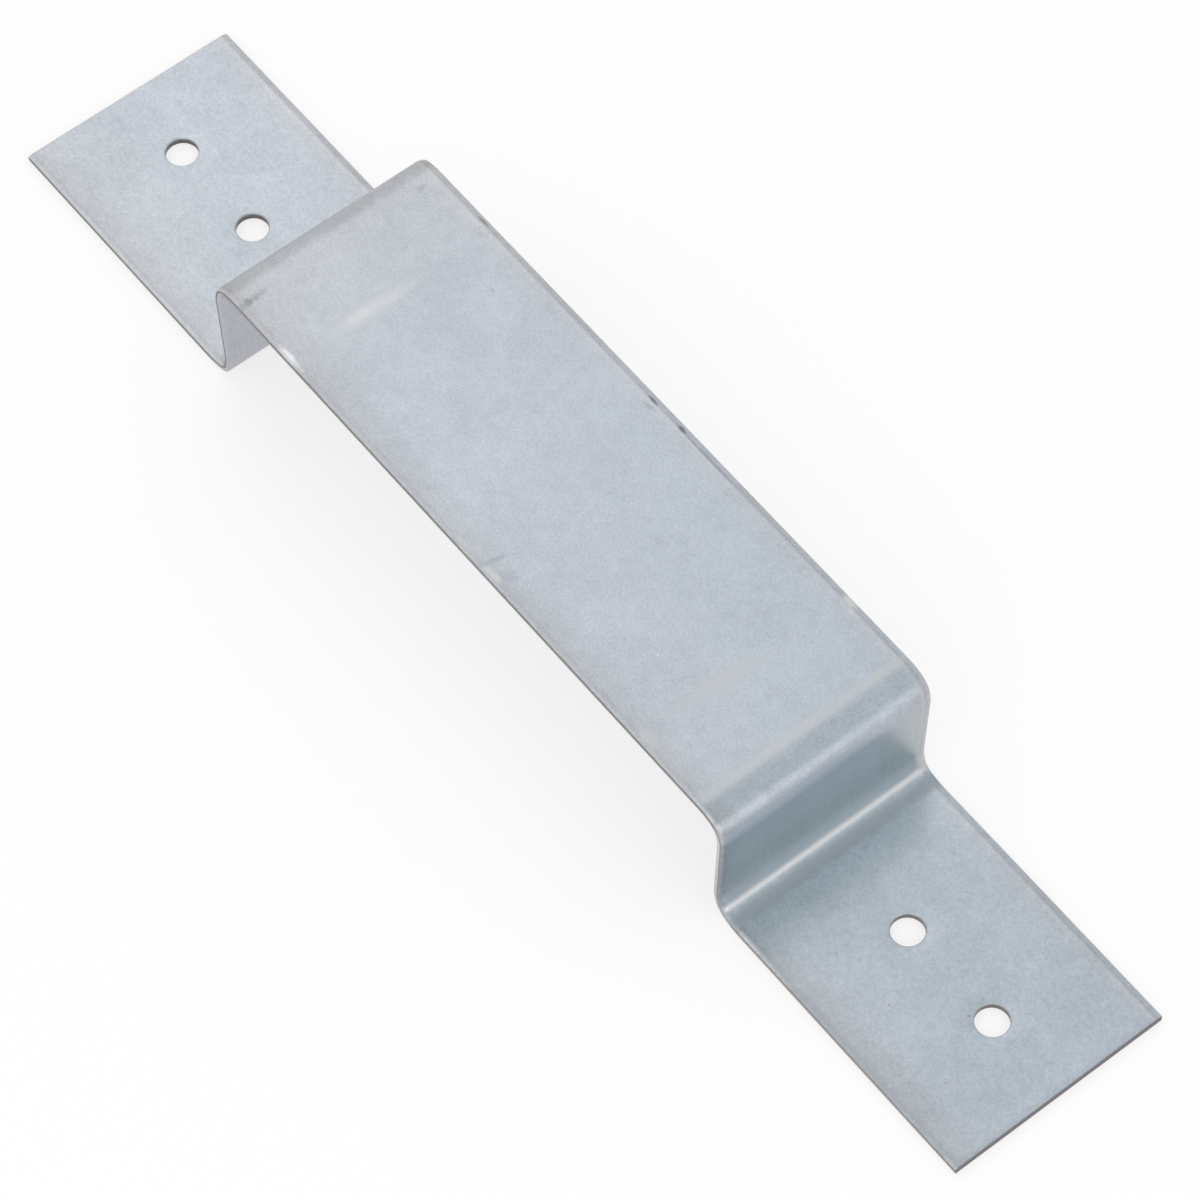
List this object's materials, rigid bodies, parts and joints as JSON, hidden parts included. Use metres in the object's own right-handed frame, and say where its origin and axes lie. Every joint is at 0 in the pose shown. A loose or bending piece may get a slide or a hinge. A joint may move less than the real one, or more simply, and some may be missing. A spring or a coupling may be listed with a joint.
{
  "type": "fence panel bracket",
  "caption": "Flat steel strip folded to a shallow hat that straddles a fence post, with screw holes in its end flanges for fixing the panels.",
  "frame": {"origin": "middle of the strip's length and width, in the plane of the undersides of the two flanges", "axes": "+X along the strip towards one flange, +Y across the strip, +Z out of the flanges towards the raised top"},
  "size_m": [0.233, 0.04, 0.0268],
  "materials": {
    "galvanised_steel": "pre-galvanised strip, fine matt grain, bare sheared edges"
  },
  "bodies": {
    "root": {"bracket": "galvanised_steel"}
  },
  "joints": []
}
